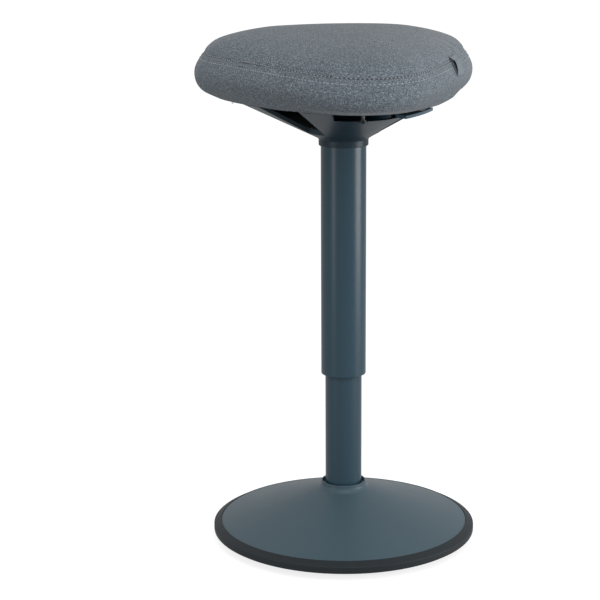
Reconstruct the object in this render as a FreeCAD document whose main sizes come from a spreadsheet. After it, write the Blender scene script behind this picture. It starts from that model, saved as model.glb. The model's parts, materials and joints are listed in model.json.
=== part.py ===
import FreeCAD, Part
import math
import os

import Sketcher

# Wobble stool: a three-lobed padded seat on a gas column over a ballasted base with a domed sole.
# Frame: origin at the floor under the column's axis, +Z up, the seat's nose towards -Y. Millimetres.

NOSE = -90.0
RIGHT_LOBE = 30.0
LEFT_LOBE = 150.0
LOBES = (NOSE, RIGHT_LOBE, LEFT_LOBE)
LEVER_DIRECTION = -30.0
FLAT_SIDES = (LEVER_DIRECTION, 90.0, -150.0)
FULL_TURN = 360.0

# Gaps between pieces of one assembly, and how far a cut starts outside the face that it breaks through
PRESSED = 0.02
NESTED = 0.05
DRILLED = 0.2
PAST = 1.0

document = FreeCAD.newDocument("WobbleStool")
sheet = document.addObject("Spreadsheet::Sheet", "Sizes")
sheet.set("A1", "Dimension")
sheet.set("B1", "Value")
sheet.set("C1", "What it is")
next_row = 2
sub_parts = []


class Size:
    """A number together with the expression that ties it to the spreadsheet."""

    def __init__(self, value, text):
        self.value = float(value)
        self.text = text

    def __add__(self, other):
        return join(self, "+", other, self.value + as_size(other).value)

    def __radd__(self, other):
        return as_size(other) + self

    def __sub__(self, other):
        return join(self, "-", other, self.value - as_size(other).value)

    def __rsub__(self, other):
        return as_size(other) - self

    def __mul__(self, other):
        return join(self, "*", other, self.value * as_size(other).value)

    def __rmul__(self, other):
        return as_size(other) * self

    def __truediv__(self, other):
        return join(self, "/", other, self.value / as_size(other).value)

    def __neg__(self):
        return Size(-self.value, "(0 - %s)" % self.text)


def as_size(number):
    """A plain number is taken as it is, a Size stays a Size."""
    if isinstance(number, Size):
        return number
    return Size(number, "(%.9f)" % number)


def join(left, sign, right, value):
    return Size(value, "(%s %s %s)" % (as_size(left).text, sign, as_size(right).text))


def root(size):
    """The square root of a Size."""
    return Size(math.sqrt(size.value), "sqrt(%s)" % size.text)


def driving(alias, value, meaning):
    """One driving dimension: a row of the sheet with its value, its alias and its meaning."""
    global next_row
    sheet.set("A%d" % next_row, alias)
    sheet.set("B%d" % next_row, str(value))
    sheet.set("C%d" % next_row, meaning)
    sheet.setAlias("B%d" % next_row, alias)
    next_row += 1
    return Size(value, "Sizes.%s" % alias)


# Base
ring_radius = driving("ring_radius", 181, "outer radius of the edge ring")
ring_bevel_inner = driving("ring_bevel_inner", 170.7, "radius where the ring meets the painted shell")
ring_wall_bottom = driving("ring_wall_bottom", 12.6, "height where the ring's side wall starts")
ring_wall_top = driving("ring_wall_top", 20.6, "height where the ring's bevel starts")
ring_top = driving("ring_top", 26, "height of the ring's inner top edge")
ring_foot_radius = driving("ring_foot_radius", 176, "radius where the underside turns up")
sole_radius = driving("sole_radius", 163, "radius of the domed sole")
sole_dome = driving("sole_dome", 1500, "radius of the sphere that the stool rocks on")
sole_flat = driving("sole_flat", 48, "radius of the flat in the middle of the sole")
sole_top = driving("sole_top", 12.5, "height of the sole's upper face")
plate_gauge = driving("plate_gauge", 3, "thickness of the steel base plate")
shell_gauge = driving("shell_gauge", 2, "thickness of the pressed steel shell")
shell_edge_height = driving("shell_edge_height", 25.4, "height of the shell's upper face at its edge")
shell_neck_root = driving("shell_neck_root", 69.6, "height where the straight cone would meet the neck")
neck_radius = driving("neck_radius", 30.8, "outer radius of the shell's neck")
neck_top = driving("neck_top", 80.6, "height of the neck's rim")
neck_fillet = driving("neck_fillet", 9, "radius between the cone and the neck")
ballast_inner = driving("ballast_inner", 64, "inner radius of the ballast disc")
ballast_outer = driving("ballast_outer", 138, "outer radius of the ballast disc")
ballast_height = driving("ballast_height", 6, "thickness of the ballast disc")
ballast_bolt_circle = driving("ballast_bolt_circle", 100, "radius of the circle of ballast bolts")
sole_screw_circle = driving("sole_screw_circle", 120, "radius of the circle of sole screws")

# Column
foot_tube_radius = driving("foot_tube_radius", 25, "outer radius of the fixed outer tube")
foot_tube_wall = driving("foot_tube_wall", 1.8, "wall of the fixed outer tube")
foot_tube_bottom = driving("foot_tube_bottom", 17, "height of the outer tube's lower end")
foot_tube_top = driving("foot_tube_top", 395, "height of the outer tube's upper end")
foot_taper_top = driving("foot_taper_top", 60, "height where the outer tube's tapered foot starts")
foot_taper = driving("foot_taper", 0.8, "how much the tapered foot loses in radius")
end_plate_bottom = driving("end_plate_bottom", 24, "height of the underside of the tube's end plate")
end_plate_gauge = driving("end_plate_gauge", 3, "thickness of the tube's end plate")
bush_length = driving("bush_length", 50, "length of the guide bush inside the outer tube")
cylinder_radius = driving("cylinder_radius", 14, "outer radius of the pressure cylinder")
cylinder_bore = driving("cylinder_bore", 12.4, "inner radius of the pressure cylinder")
cylinder_bottom = driving("cylinder_bottom", 190, "height of the pressure cylinder's lower end")
cylinder_top = driving("cylinder_top", 590, "height of the pressure cylinder's upper end")
cylinder_taper_start = driving("cylinder_taper_start", 550, "height where the cylinder's taper starts")
cylinder_taper = driving("cylinder_taper", 0.9, "how much the cylinder's taper loses in radius")
rod_radius = driving("rod_radius", 5, "radius of the piston rod")
rod_top = driving("rod_top", 300, "height of the piston rod's upper end")
piston_bottom = driving("piston_bottom", 280, "height of the piston's underside")
piston_height = driving("piston_height", 16, "height of the piston")
cover_radius = driving("cover_radius", 30.6, "outer radius of the cover tube")
cover_wall = driving("cover_wall", 1.8, "wall of the cover tube")
cover_bottom = driving("cover_bottom", 234.5, "height of the cover tube's lower end")
cover_top = driving("cover_top", 556, "height of the cover tube's upper end")
collar_radius = driving("collar_radius", 33.4, "outer radius of the ring round the cover tube's top")
collar_bottom = driving("collar_bottom", 549.8, "height of the ring's underside")
running_gap = driving("running_gap", 0.06, "radial clearance of a sliding or turning fit")
seat_gap = driving("seat_gap", 0.02, "clearance of a seated taper")

# Seat
hub_bottom = driving("hub_bottom", 558.7, "height of the carrier hub's underside")
hub_radius = driving("hub_radius", 34, "outer radius of the carrier hub")
flare_start = driving("flare_start", 560, "height where the carrier's flare starts")
carrier_top = driving("carrier_top", 610, "height of the carrier's rim, which the seat rests on")
carrier_rim = driving("carrier_rim", 3, "height of the carrier's upright rim")
carrier_wall = driving("carrier_wall", 3, "wall of the carrier")
carrier_scale = driving("carrier_scale", 0.72, "carrier outline as a part of the cushion outline")
corner_distance = driving("corner_distance", 116.2, "distance of a lobe's centre from the axis")
corner_round = driving("corner_round", 91, "radius of a lobe")
side_distance = driving("side_distance", 304, "distance of a flat side's centre beyond the axis")
board_scale = driving("board_scale", 0.80, "seat board outline as a part of the cushion outline")
board_gauge = driving("board_gauge", 12, "thickness of the seat board")
cover_gauge = driving("cover_gauge", 1.5, "thickness of the seat's fabric")
widest_height = driving("widest_height", 640.2, "height of the cushion's widest line")
seam_height = driving("seam_height", 670.7, "height of the cushion's seam at the axis")
seam_scale = driving("seam_scale", 0.933, "seam outline as a part of the cushion outline")
hem_scale = driving("hem_scale", 0.827, "bottom edge outline as a part of the cushion outline")
dome_top = driving("dome_top", 706.7, "height of the cushion's crown")
nose_droop = driving("nose_droop", 3, "degrees that the seat's upper faces lean towards the nose")
plate_bottom = driving("plate_bottom", 587, "height of the mount plate's underside")
steel_gauge = driving("steel_gauge", 3, "thickness of the mount plate's steel")
lever_pivot = driving("lever_pivot", 48, "distance of the lever's pivot from the axis")
lever_height = driving("lever_height", 600, "height of the lever's pivot")
pin_drop = driving("pin_drop", 2, "how far the release pin's top lies under the lever's pivot")
carrier_screw_circle = driving("carrier_screw_circle", 118, "radius of the circle of carrier screws")
plate_screw_x = driving("plate_screw_x", 38, "distance of the plate's screws from the axis along X")
plate_screw_y = driving("plate_screw_y", 69, "distance of the plate's screws from the axis along Y")

dome_centre = root(sole_dome * sole_dome - sole_flat * sole_flat)
neck_inner = neck_radius - shell_gauge
base_plate_bottom = sole_top
base_plate_top = sole_top + plate_gauge
board_bottom = carrier_top + cover_gauge
board_top = board_bottom + board_gauge
plate_top = plate_bottom + steel_gauge
end_plate_top = end_plate_bottom + end_plate_gauge
rod_stem = rod_radius - 1
carrier_screw_depth = 8
nut_flange = 1.2
ARM_END = 104


def direction(angle):
    """The unit vector in the floor plane at an angle in degrees from +X."""
    return math.cos(math.radians(angle)), math.sin(math.radians(angle))


def sub_part(thing, label):
    """Give a finished sub-part its own label and put it on the list to export."""
    thing.Label = label
    thing.Placement = FreeCAD.Placement()
    sub_parts.append(thing)
    return thing


def new_body(label):
    body = document.addObject("PartDesign::Body", label)
    body.AllowCompound = True
    return body


def origin_feature(body, role):
    return [feature for feature in body.Origin.OriginFeatures if feature.Role == role][0]


def new_sketch(body, plane, height=None, lean=None):
    """A sketch on one of the body's own planes, raised along the plane's normal, leaning about X."""
    sketch = body.newObject("Sketcher::SketchObject", "Sketch")
    sketch.AttachmentSupport = [(origin_feature(body, plane), "")]
    sketch.MapMode = "FlatFace"
    if height is not None:
        sketch.setExpression(".AttachmentOffset.Base.z", as_size(height).text)
    if lean is not None:
        sketch.AttachmentOffset = FreeCAD.Placement(
            FreeCAD.Vector(0, 0, as_size(height).value),
            FreeCAD.Rotation(FreeCAD.Vector(1, 0, 0), as_size(lean).value))
        sketch.setExpression(".AttachmentOffset.Rotation.Angle", as_size(lean).text)
    return sketch


def bind(sketch, kind, places, size):
    """One dimension of a sketch, driven by the sheet."""
    index = sketch.addConstraint(Sketcher.Constraint(kind, *places, as_size(size).value))
    sketch.setExpression("Constraints[%d]" % index, as_size(size).text)


def pin_point(sketch, curve, end, x, y):
    bind(sketch, "DistanceX", (-1, 1, curve, end), x)
    bind(sketch, "DistanceY", (-1, 1, curve, end), y)


def polygon(sketch, points, arcs=None):
    """A closed outline of straight edges; arcs gives the centre of an edge that is round instead."""
    arcs = arcs or {}
    count = len(points)
    places = [(as_size(x), as_size(y)) for x, y in points]
    first = sketch.GeometryCount
    starts = []
    ends = []
    for index in range(count):
        x0, y0 = [place.value for place in places[index]]
        x1, y1 = [place.value for place in places[(index + 1) % count]]
        if index in arcs:
            cx, cy = [as_size(place).value for place in arcs[index]]
            radius = math.hypot(x0 - cx, y0 - cy)
            from_angle = math.atan2(y0 - cy, x0 - cx)
            to_angle = math.atan2(y1 - cy, x1 - cx)
            turns_left = (to_angle - from_angle) % math.tau < math.pi
            if not turns_left:
                from_angle, to_angle = to_angle, from_angle
            circle = Part.Circle(FreeCAD.Vector(cx, cy, 0), FreeCAD.Vector(0, 0, 1), radius)
            sketch.addGeometry(Part.ArcOfCircle(circle, from_angle, to_angle))
            starts.append(1 if turns_left else 2)
            ends.append(2 if turns_left else 1)
        else:
            sketch.addGeometry(Part.LineSegment(FreeCAD.Vector(x0, y0, 0), FreeCAD.Vector(x1, y1, 0)))
            starts.append(1)
            ends.append(2)
    for index in range(count):
        after = (index + 1) % count
        sketch.addConstraint(Sketcher.Constraint(
            "Coincident", first + index, ends[index], first + after, starts[after]))
    for index, (x, y) in enumerate(places):
        pin_point(sketch, first + index, starts[index], x, y)
    for index, centre in arcs.items():
        bind(sketch, "DistanceX", (-1, 1, first + index, 3), centre[0])


def circle(sketch, x, y, radius):
    centre = FreeCAD.Vector(as_size(x).value, as_size(y).value, 0)
    index = sketch.addGeometry(Part.Circle(centre, FreeCAD.Vector(0, 0, 1), as_size(radius).value))
    pin_point(sketch, index, 3, x, y)
    bind(sketch, "Radius", (index,), radius)


def rectangle(sketch, left, right, low, high):
    polygon(sketch, [(left, low), (right, low), (right, high), (left, high)])


def bar_across(sketch, angle, inner, outer, length):
    """A rectangle that lies square across a direction, between two distances from the axis."""
    x, y = direction(angle)
    half = length / 2
    polygon(sketch, [
        (inner * x + half * y, inner * y - half * x), (outer * x + half * y, outer * y - half * x),
        (outer * x - half * y, outer * y + half * x), (inner * x - half * y, inner * y + half * x)])


def places_round(reach, angles):
    """Points at one distance from the axis, in several directions."""
    return [(reach * direction(angle)[0], reach * direction(angle)[1]) for angle in angles]


def places_at_corners(x, y):
    """The four corners of a rectangle round the axis."""
    return [(sign_x * x, sign_y * y) for sign_x in (-1, 1) for sign_y in (-1, 1)]


def lobed_outline(sketch, scale=1.0, outward=0.0):
    """The seat's rounded triangle: three lobe arcs joined by three flatter arcs, all tangent."""
    centre_distance = corner_distance * scale
    round_radius = corner_round * scale + outward
    far = side_distance * scale
    reach = root(centre_distance * centre_distance + far * far + centre_distance * far)
    side_radius = reach + round_radius
    first = sketch.GeometryCount
    reach_angle = math.atan2(centre_distance.value * math.sin(math.radians(60)),
                             far.value + centre_distance.value * math.cos(math.radians(60)))
    lobe_half = math.radians(60) - reach_angle
    for angle in LOBES:
        cx, cy = direction(angle)
        middle = math.radians(angle)
        lobe = Part.Circle(FreeCAD.Vector(cx * centre_distance.value, cy * centre_distance.value, 0),
                           FreeCAD.Vector(0, 0, 1), round_radius.value)
        sketch.addGeometry(Part.ArcOfCircle(lobe, middle - lobe_half, middle + lobe_half))
        middle += math.radians(60)
        opposite_x, opposite_y = direction(angle + 240)
        side = Part.Circle(FreeCAD.Vector(opposite_x * far.value, opposite_y * far.value, 0),
                           FreeCAD.Vector(0, 0, 1), side_radius.value)
        sketch.addGeometry(Part.ArcOfCircle(side, middle - reach_angle, middle + reach_angle))
    for index in range(6):
        sketch.addConstraint(Sketcher.Constraint(
            "Tangent", first + index, 2, first + (index + 1) % 6, 1))
    for index, angle in enumerate(LOBES):
        cx, cy = direction(angle)
        pin_point(sketch, first + 2 * index, 3, centre_distance * cx, centre_distance * cy)
        bind(sketch, "Radius", (first + 2 * index,), round_radius)
        bind(sketch, "Radius", (first + 2 * index + 1,), side_radius)


def feature_of(body, kind, sketch):
    feature = body.newObject("PartDesign::" + kind, kind)
    feature.Profile = sketch
    sketch.Visibility = False
    return feature


def turned(body, points, arcs=None):
    """Spin a half section, given as radius and height, once round the column's axis."""
    sketch = new_sketch(body, "XZ_Plane")
    polygon(sketch, points, arcs)
    feature = feature_of(body, "Revolution", sketch)
    feature.ReferenceAxis = (sketch, ["V_Axis"])
    feature.Angle = FULL_TURN
    return feature


def raised(body, sketch, height):
    """Pad a flat sketch upwards."""
    feature = feature_of(body, "Pad", sketch)
    feature.setExpression("Length", as_size(height).text)
    return feature


def cut_up(body, sketch, height):
    """Pocket upwards from a sketch that lies under the material, and insist that it removes some."""
    document.recompute()
    before = body.Shape.Volume
    feature = feature_of(body, "Pocket", sketch)
    feature.Reversed = True
    feature.setExpression("Length", as_size(height).text)
    document.recompute()
    if body.Shape.Volume >= before:
        raise RuntimeError("a pocket in %s removed nothing" % body.Name)
    return feature


def posts(body, places, radius, bottom, top):
    """Round posts between two heights."""
    sketch = new_sketch(body, "XY_Plane", bottom)
    for x, y in places:
        circle(sketch, x, y, radius)
    return raised(body, sketch, as_size(top) - bottom)


def holes(body, places, radius, bottom, top):
    """Round holes between two heights."""
    sketch = new_sketch(body, "XY_Plane", bottom)
    for x, y in places:
        circle(sketch, x, y, radius)
    return cut_up(body, sketch, as_size(top) - bottom)


def round_table(body, features, count):
    """Repeat features evenly round the column's axis."""
    pattern = body.newObject("PartDesign::PolarPattern", "Pattern")
    pattern.Originals = features
    pattern.Axis = (origin_feature(body, "Z_Axis"), [""])
    pattern.Angle = FULL_TURN
    pattern.Occurrences = count
    body.Tip = pattern
    return pattern


def edges_at(feature, radius, height):
    """The full circles of a turned shape at a radius and a height."""
    names = []
    for index, edge in enumerate(feature.Shape.Edges):
        curve = edge.Curve
        if not hasattr(curve, "Radius") or not hasattr(curve, "Center"):
            continue
        level = abs(curve.Center.z - as_size(height).value) < 0.01
        if level and abs(curve.Radius - as_size(radius).value) < 0.01:
            names.append("Edge%d" % (index + 1))
    if not names:
        raise RuntimeError("no edge of radius %.2f at height %.2f" %
                           (as_size(radius).value, as_size(height).value))
    return names


def soften(body, feature, rings, radius):
    """Fillet the named circles of a turned shape."""
    document.recompute()
    names = []
    for ring in rings:
        names.extend(edges_at(feature, *ring))
    fillet = body.newObject("PartDesign::Fillet", "Fillet")
    fillet.Base = (feature, names)
    fillet.setExpression("Radius", as_size(radius).text)
    return fillet


def turned_part(label, points, arcs=None, rounds=()):
    """A sub-part that is one turned section, with some of its edges rounded."""
    body = new_body(label)
    feature = turned(body, points, arcs)
    for rings, radius in rounds:
        feature = soften(body, feature, rings, radius)
    return sub_part(body, label)


def ring_part(label, inner, outer, bottom, top, rounds=()):
    """A plain turned ring, or a disc when its inner radius is nought."""
    return turned_part(label, [(inner, bottom), (outer, bottom), (outer, top), (inner, top)], None, rounds)


def dome_height(radius):
    """Height of the rocking sphere over the floor at a radius."""
    return dome_centre - root(sole_dome * sole_dome - as_size(radius) * radius)


def sole_parts():
    # The sole: flat in the middle, then part of a sphere that the whole stool rocks on
    screw_place = [(sole_screw_circle, 0)]
    screw_count = 6
    shank_radius = 2
    head_radius = 4.6
    head_height = 2.6
    head_seat = 8
    recess_radius = 6
    body = new_body("domed_sole")
    turned(body, [(0, 0), (sole_flat, 0), (sole_radius, dome_height(sole_radius)),
                  (sole_radius, sole_top), (0, sole_top)], {1: (0, dome_centre)})
    recess = holes(body, screw_place, recess_radius, 0, head_seat)
    hole = holes(body, screw_place, shank_radius + DRILLED, 0, sole_top)
    round_table(body, [recess, hole], screw_count)
    sub_part(body, "domed_sole")

    # Its screws, driven up from below into the base plate
    body = new_body("sole_screws")
    head = posts(body, screw_place, head_radius, head_seat - head_height, head_seat)
    shank = posts(body, screw_place, shank_radius, head_seat - head_height, base_plate_top - DRILLED)
    round_table(body, [head, shank], screw_count)
    sub_part(body, "sole_screws")

    # The ring: carries the sphere on to the rim, takes the knocks and grips the shell's edge
    inner = sole_radius + 2 * DRILLED
    shelf = shell_edge_height - shell_gauge - DRILLED
    foot_height = dome_height(ring_foot_radius)
    turned_part("edge_ring", [
        (inner, dome_height(inner)), (ring_foot_radius, foot_height),
        (ring_radius, ring_wall_bottom), (ring_radius, ring_wall_top),
        (ring_bevel_inner, ring_top), (ring_bevel_inner, shelf), (inner, shelf)],
        None, [([(ring_radius, ring_wall_bottom), (ring_foot_radius, foot_height)], 2),
               ([(ring_radius, ring_wall_top)], 1)])


def base_parts():
    # The shell: one pressing, a shallow cone that turns up into a neck round the column
    edge = ring_bevel_inner - DRILLED
    edge_round = 0.8
    rim_round = 0.9
    turned_part("base_shell", [
        (neck_inner, shell_neck_root), (edge, shell_edge_height - shell_gauge), (edge, shell_edge_height),
        (neck_radius, shell_neck_root + shell_gauge), (neck_radius, neck_top), (neck_inner, neck_top)],
        None, [([(neck_radius, shell_neck_root + shell_gauge)], neck_fillet),
               ([(neck_radius, neck_top), (neck_inner, neck_top)], rim_round),
               ([(edge, shell_edge_height)], edge_round)])

    bolt_place = [(0, ballast_bolt_circle)]
    bolt_count = 3
    bolt_radius = 3
    body = new_body("base_plate")
    turned(body, [(0, base_plate_bottom), (sole_radius, base_plate_bottom),
                  (sole_radius, base_plate_top), (0, base_plate_top)])
    screw_hole = holes(body, [(sole_screw_circle, 0)], 2 + NESTED, base_plate_bottom - PAST,
                       base_plate_top + PAST)
    round_table(body, [screw_hole], 6)
    bolt_hole = holes(body, bolt_place, bolt_radius + NESTED, base_plate_bottom - PAST,
                      base_plate_top + PAST)
    round_table(body, [bolt_hole], bolt_count)
    sub_part(body, "base_plate")

    body = new_body("ballast_disc")
    ballast_top = base_plate_top + ballast_height
    turned(body, [(ballast_inner, base_plate_top), (ballast_outer, base_plate_top),
                  (ballast_outer, ballast_top), (ballast_inner, ballast_top)])
    bolt_hole = holes(body, bolt_place, bolt_radius + 2 * DRILLED, base_plate_top - PAST,
                      ballast_top + PAST)
    round_table(body, [bolt_hole], bolt_count)
    sub_part(body, "ballast_disc")

    head_radius = 5.5
    head_height = 3.4
    body = new_body("ballast_bolts")
    shank = posts(body, bolt_place, bolt_radius, base_plate_bottom + DRILLED, ballast_top)
    head = posts(body, bolt_place, head_radius, ballast_top, ballast_top + head_height)
    round_table(body, [shank, head], bolt_count)
    sub_part(body, "ballast_bolts")

    # The socket: a short steel tube welded to the plate, with a taper that the column's foot wedges into
    socket_wall = 4
    socket_radius = foot_tube_radius + socket_wall
    bore_gap = seat_gap * 2
    turned_part("hub_socket", [
        (foot_tube_radius - foot_taper + bore_gap, base_plate_top), (socket_radius, base_plate_top),
        (socket_radius, foot_taper_top), (foot_tube_radius + bore_gap, foot_taper_top)])

    # Four ribs brace the socket
    rib_gauge = 4
    rib_toe = 5
    rib_start = socket_radius + NESTED
    rib_end = ballast_inner - 2
    body = new_body("hub_gussets")
    sketch = new_sketch(body, "XZ_Plane")
    polygon(sketch, [(rib_start, base_plate_top), (rib_end, base_plate_top),
                     (rib_end, base_plate_top + rib_toe), (rib_start, foot_taper_top - 8)])
    rib = raised(body, sketch, rib_gauge)
    rib.SideType = "Symmetric"
    round_table(body, [rib], 4)
    sub_part(body, "hub_gussets")

    # A plastic bush inside the neck keeps the painted shell off the tube
    bush_top = neck_top - 4.5
    bush_height = 10
    ring_part("collar_bush", foot_tube_radius + NESTED, neck_inner - NESTED, bush_top - bush_height,
              bush_top)


def bearing_parts():
    """Thrust bearing: two washers with caged balls between them. Gives the height of its top."""
    washer_gauge = 1.5
    washer_radius = 13
    ball_radius = 1.5
    ball_circle = 9.5
    ball_count = 8
    ball_gap = 0.1
    cage_half_width = 2.3
    cage_half_height = 0.7
    lower_top = end_plate_top + washer_gauge
    ball_height = lower_top + ball_gap + ball_radius
    upper_bottom = ball_height + ball_radius + ball_gap
    upper_top = upper_bottom + washer_gauge
    ring_part("bearing_lower_washer", 6, washer_radius, end_plate_top, lower_top)
    ring_part("bearing_upper_washer", rod_stem + NESTED, washer_radius, upper_bottom, upper_top)

    body = new_body("ball_cage")
    cage_bottom = ball_height - cage_half_height
    cage_top = ball_height + cage_half_height
    cage_inner = ball_circle - cage_half_width
    cage_outer = ball_circle + cage_half_width
    turned(body, [(cage_inner, cage_bottom), (cage_outer, cage_bottom),
                  (cage_outer, cage_top), (cage_inner, cage_top)])
    pocket = holes(body, [(ball_circle, 0)], ball_radius + 0.08, cage_bottom - PAST, cage_top + PAST)
    round_table(body, [pocket], ball_count)
    sub_part(body, "ball_cage")

    body = new_body("bearing_balls")
    sphere = body.newObject("PartDesign::AdditiveSphere", "Ball")
    sphere.Radius = ball_radius
    sphere.Placement.Base = FreeCAD.Vector(ball_circle, 0, ball_height.value)
    sphere.setExpression(".Placement.Base.z", ball_height.text)
    round_table(body, [sphere], ball_count)
    sub_part(body, "bearing_balls")
    return upper_top


def column_parts():
    # The fixed tube: tapered foot below, end plate that carries the bearing, open top for the bush
    tube_bore = foot_tube_radius - foot_tube_wall
    foot = foot_tube_radius - foot_taper
    foot_bore = foot - foot_tube_wall
    stem_hole = rod_stem + 0.3
    turned_part("outer_tube", [
        (foot_bore, foot_tube_bottom), (foot, foot_tube_bottom), (foot_tube_radius, foot_taper_top),
        (foot_tube_radius, foot_tube_top), (tube_bore, foot_tube_top), (tube_bore, end_plate_top),
        (stem_hole, end_plate_top), (stem_hole, end_plate_bottom), (foot_bore, end_plate_bottom)])

    bush_bore = cylinder_radius + running_gap
    bush_flange = 3
    turned_part("guide_bush", [
        (bush_bore, foot_tube_top - bush_length), (tube_bore - PRESSED, foot_tube_top - bush_length),
        (tube_bore - PRESSED, foot_tube_top), (foot_tube_radius, foot_tube_top),
        (foot_tube_radius, foot_tube_top + bush_flange), (bush_bore, foot_tube_top + bush_flange)])

    # The rod: its thin stem hangs through the bearing and the end plate and is held by a clip
    bearing_top = bearing_parts()
    stem_bottom = foot_tube_bottom + 3
    groove = rod_stem - 0.8
    clip_gauge = 1.5
    clip_radius = 7
    clip_top = end_plate_bottom - 0.4
    clip_bottom = clip_top - clip_gauge
    turned_part("piston_rod", [
        (0, stem_bottom), (rod_stem, stem_bottom), (rod_stem, clip_bottom), (groove, clip_bottom),
        (groove, clip_top), (rod_stem, clip_top), (rod_stem, bearing_top), (rod_radius, bearing_top),
        (rod_radius, rod_top), (0, rod_top)])

    side_gap = 0.1
    body = new_body("rod_clip")
    turned(body, [(groove + NESTED, clip_bottom + side_gap), (clip_radius, clip_bottom + side_gap),
                  (clip_radius, clip_top - side_gap), (groove + NESTED, clip_top - side_gap)])
    sketch = new_sketch(body, "XY_Plane", clip_bottom - PAST)
    polygon(sketch, [(2, -1.6), (9, -2.4), (9, 2.4), (2, 1.6)])
    cut_up(body, sketch, clip_gauge + 2 * PAST)
    sub_part(body, "rod_clip")

    buffer_height = 11
    buffer_radius = 12.5
    buffer_top = bearing_top + buffer_height
    ring_part("rubber_buffer", rod_radius + NESTED, buffer_radius, bearing_top, buffer_top,
              [([(buffer_radius, buffer_top)], 2)])

    piston_radius = cylinder_bore - running_gap
    piston_bore = rod_radius + PRESSED
    piston_top = piston_bottom + piston_height
    seal_depth = 2
    groove_bottom = piston_bottom + 6
    groove_top = groove_bottom + 3
    turned_part("piston", [
        (piston_bore, piston_bottom), (piston_radius, piston_bottom), (piston_radius, groove_bottom),
        (piston_radius - seal_depth, groove_bottom), (piston_radius - seal_depth, groove_top),
        (piston_radius, groove_top), (piston_radius, piston_top), (piston_bore, piston_top)])
    ring_part("piston_seal", piston_radius - seal_depth + NESTED, piston_radius, groove_bottom + NESTED,
              groove_top - NESTED)

    # The pressure cylinder slides over the piston, and its tapered top wedges into the seat's socket
    neck_bore = cylinder_bore - 1
    plug_bottom = cylinder_top - 12
    shoulder = plug_bottom - 4
    turned_part("pressure_cylinder", [
        (cylinder_bore, cylinder_bottom), (cylinder_radius, cylinder_bottom),
        (cylinder_radius, cylinder_taper_start), (cylinder_radius - cylinder_taper, cylinder_top),
        (neck_bore, cylinder_top), (neck_bore, shoulder), (cylinder_bore, shoulder)])
    ring_part("cylinder_gland", rod_radius + running_gap, cylinder_bore - PRESSED, cylinder_bottom + 1,
              cylinder_bottom + 22)
    pin_radius = 3
    ring_part("valve_plug", pin_radius + running_gap, neck_bore - PRESSED, plug_bottom, cylinder_top)
    pin_top = lever_height - pin_drop
    ring_part("release_pin", 0, pin_radius, shoulder, pin_top, [([(pin_radius, pin_top)], 0.8)])

    # The cover tube hangs from the seat and slides down over the fixed tube
    cover_inner = cover_radius - cover_wall
    ring_part("cover_tube", cover_inner, cover_radius, cover_bottom, cover_top,
              [([(cover_radius, cover_bottom)], 1.2)])
    ring_part("cover_glide_ring", foot_tube_radius + running_gap, cover_inner - PRESSED, cover_bottom + 3,
              cover_bottom + 21)
    collar_bore = cover_radius + PRESSED
    lip_inner = cover_radius - 4
    turned_part("tube_collar", [
        (collar_bore, collar_bottom), (collar_radius, collar_bottom), (collar_radius, hub_bottom),
        (lip_inner, hub_bottom), (lip_inner, cover_top), (collar_bore, cover_top)],
        None, [([(collar_radius, collar_bottom), (collar_radius, hub_bottom)], 0.9)])


def carrier_part():
    """The moulded carrier: a hub that flares out on three arms to a rim under the seat's lobes."""
    body = new_body("seat_carrier")
    flare_top = carrier_top - carrier_rim
    small_scale = as_size(0.02)
    flare_round = hub_radius + 1.4
    small_round = flare_round - (corner_distance + corner_round) * small_scale
    bore_wall = 6

    def section(height, scale, outward):
        sketch = new_sketch(body, "XY_Plane", height)
        lobed_outline(sketch, scale, outward)
        return sketch

    loft = feature_of(body, "AdditiveLoft", section(flare_start, small_scale, small_round))
    loft.Sections = [section(flare_top, carrier_scale, as_size(0))]
    loft.Ruled = True
    raised(body, section(flare_top, carrier_scale, as_size(0)), carrier_rim)
    turned(body, [(0, hub_bottom), (hub_radius, hub_bottom), (flare_round, flare_start + 0.6),
                  (hub_radius - bore_wall, flare_start + 8), (0, flare_start + 8)])
    document.recompute()

    hollow_floor = flare_start + 4
    floor_outline = section(hollow_floor, small_scale, small_round - bore_wall)
    hollow = feature_of(body, "SubtractiveLoft", floor_outline)
    hollow.Sections = [section(carrier_top + PAST / 2, carrier_scale, -carrier_wall)]
    hollow.Ruled = True

    # Bosses under the rim at each lobe, for the screws that hold the carrier to the seat board
    screw_places = places_round(carrier_screw_circle, LOBES)
    boss_bottom = 594
    head_seat = boss_bottom + 4
    posts(body, screw_places, 6.5, boss_bottom, carrier_top)
    holes(body, screw_places, 2.7, hub_bottom, carrier_top + PAST)
    holes(body, screw_places, 5, hub_bottom, head_seat)

    # The bore for the column's socket
    holes(body, [(0, 0)], 18.2, hub_bottom - PAST, hub_bottom + 13)

    # Windows between the arms, under the flat sides of the seat
    half_window = 20.0
    window_root = 50
    window_end = 170
    for middle in FLAT_SIDES:
        edges = (middle - half_window, middle + half_window)
        sketch = new_sketch(body, "XY_Plane", hub_bottom - PAST)
        polygon(sketch, places_round(window_end, edges) + places_round(window_root, edges)[::-1])
        cut_up(body, sketch, carrier_top - hub_bottom + 2 * PAST)

    # A slot along the nose's right-hand edge, where the lever's blade is reached
    slot_inner = 96
    slot_outer = 175
    slot_bottom = 596.6
    slot_start = -108.0
    slot_end = LEVER_DIRECTION - half_window + 2
    ends = (slot_start, (slot_start + slot_end) / 2, slot_end)
    sketch = new_sketch(body, "XY_Plane", slot_bottom)
    polygon(sketch, places_round(slot_outer, ends) + places_round(slot_inner, ends)[::-1])
    cut_up(body, sketch, carrier_top - slot_bottom + PAST)
    sub_part(body, "seat_carrier")

    # Its screws
    head_height = 3
    body = new_body("carrier_screws")
    posts(body, screw_places, 4.4, head_seat - head_height, head_seat)
    posts(body, screw_places, 2.4, head_seat, board_bottom + carrier_screw_depth)
    sub_part(body, "carrier_screws")


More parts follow.
